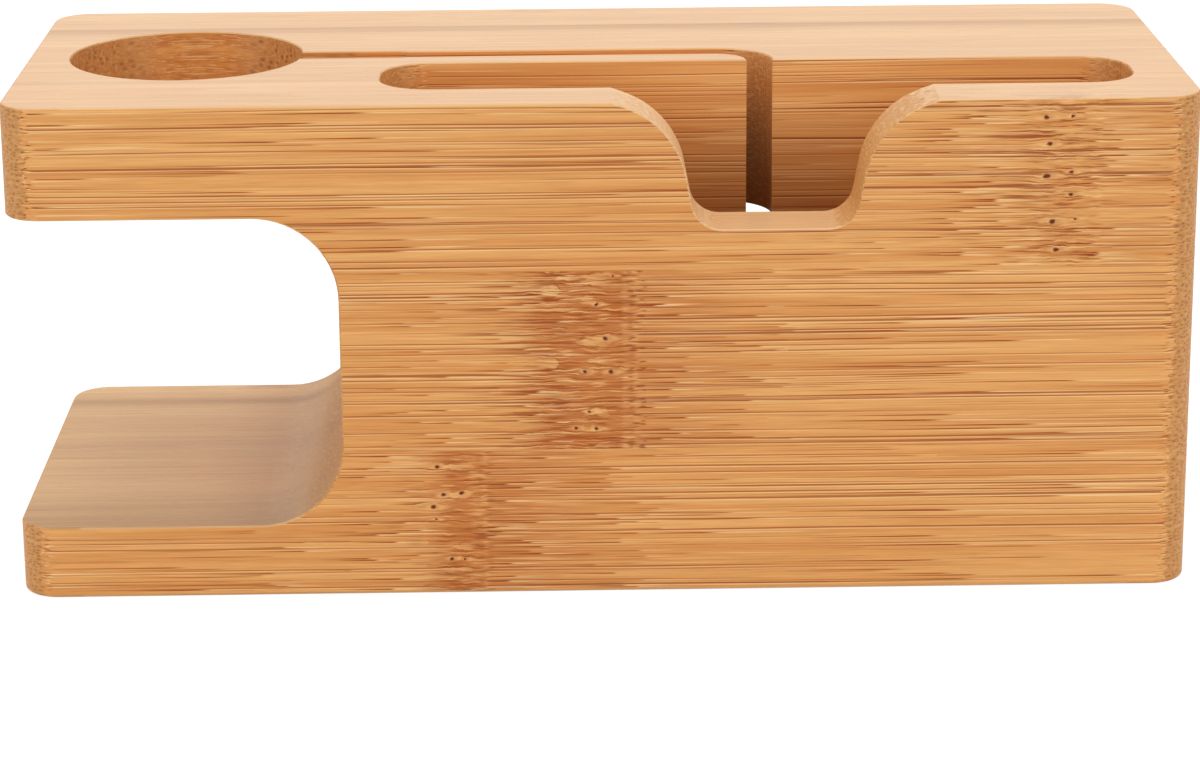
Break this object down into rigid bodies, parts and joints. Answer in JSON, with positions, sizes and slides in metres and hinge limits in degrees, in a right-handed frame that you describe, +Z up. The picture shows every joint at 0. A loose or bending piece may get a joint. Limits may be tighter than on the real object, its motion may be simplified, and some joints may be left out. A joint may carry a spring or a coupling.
{
  "type": "charging stand",
  "caption": "Laminated bamboo desk stand with a phone slot, a front notch, a cable bay and an arm whose round recess takes a watch charger above a gap for the strap.",
  "frame": {"origin": "middle of the underside's bounding rectangle, on the surface that the stand rests on", "axes": "+X along the length, from the watch arm towards the phone slot; +Y from the notched front to the back; +Z up"},
  "size_m": [0.14, 0.056, 0.06],
  "materials": {
    "bamboo": "satin"
  },
  "bodies": {
    "root": {"front_ply_bottom_strip": "bamboo", "front_ply_middle_strip": "bamboo", "front_ply_top_strip": "bamboo", "ply_2_bottom_strip": "bamboo", "ply_2_middle_strip": "bamboo", "ply_2_top_strip": "bamboo", "ply_3_bottom_strip": "bamboo", "ply_3_middle_strip": "bamboo", "ply_3_top_strip_left": "bamboo", "ply_3_top_strip_right": "bamboo", "ply_4_bottom_strip": "bamboo", "ply_4_middle_strip": "bamboo", "ply_4_top_strip_left": "bamboo", "ply_4_top_strip_right": "bamboo", "ply_5_bottom_strip": "bamboo", "ply_5_middle_strip": "bamboo", "ply_5_top_strip": "bamboo", "ply_6_bottom_strip": "bamboo", "ply_6_middle_strip": "bamboo", "ply_6_top_strip": "bamboo", "ply_7_bottom_strip": "bamboo", "ply_7_middle_strip": "bamboo", "ply_7_top_strip": "bamboo", "ply_8_bottom_strip": "bamboo", "ply_8_middle_strip": "bamboo", "ply_8_top_strip": "bamboo", "back_ply_bottom_strip": "bamboo", "back_ply_middle_strip": "bamboo", "back_ply_top_strip": "bamboo"}
  },
  "joints": []
}
